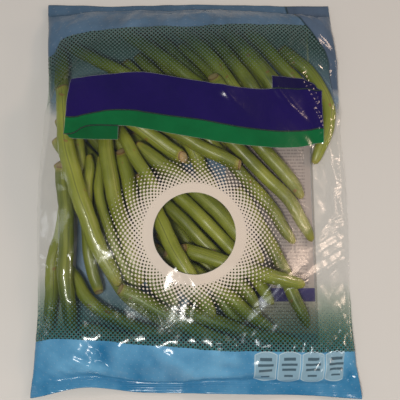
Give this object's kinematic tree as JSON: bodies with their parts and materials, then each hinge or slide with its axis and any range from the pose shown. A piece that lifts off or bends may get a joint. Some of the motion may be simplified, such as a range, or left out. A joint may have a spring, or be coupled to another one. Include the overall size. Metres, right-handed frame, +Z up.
{
  "type": "bag of green beans",
  "caption": "Sealed clear film bag, lying flat, filled with whole trimmed green beans; crimped seals at both ends and printed bands on its front.",
  "frame": {"origin": "on the counter, under the middle of the bag's bounding box", "axes": "+Y along the bag towards its top seal, +X to the right of its front, +Z up through the front film"},
  "size_m": [0.2046, 0.2638, 0.0334],
  "materials": {
    "film": "clear printed film, glossy and creased",
    "bean": "green bean skin with a soft sheen"
  },
  "bodies": {
    "root": {"film_bag": "film", "bean_01": "bean", "bean_02": "bean", "bean_03": "bean", "bean_04": "bean", "bean_05": "bean", "bean_06": "bean", "bean_07": "bean", "bean_08": "bean", "bean_09": "bean", "bean_10": "bean", "bean_11": "bean", "bean_12": "bean", "bean_13": "bean", "bean_14": "bean", "bean_15": "bean", "bean_16": "bean", "bean_17": "bean", "bean_18": "bean", "bean_19": "bean", "bean_20": "bean", "bean_21": "bean", "bean_22": "bean", "bean_23": "bean", "bean_24": "bean", "bean_25": "bean", "bean_26": "bean", "bean_27": "bean", "bean_28": "bean", "bean_29": "bean", "bean_30": "bean", "bean_31": "bean", "bean_32": "bean", "bean_33": "bean", "bean_34": "bean", "bean_35": "bean", "bean_36": "bean", "bean_37": "bean", "bean_38": "bean", "bean_39": "bean", "bean_40": "bean", "bean_41": "bean", "bean_42": "bean", "bean_43": "bean", "bean_44": "bean", "bean_45": "bean", "bean_46": "bean", "bean_47": "bean", "bean_48": "bean", "bean_49": "bean", "bean_50": "bean", "bean_51": "bean", "bean_52": "bean", "bean_53": "bean", "bean_54": "bean", "bean_55": "bean"}
  },
  "joints": []
}
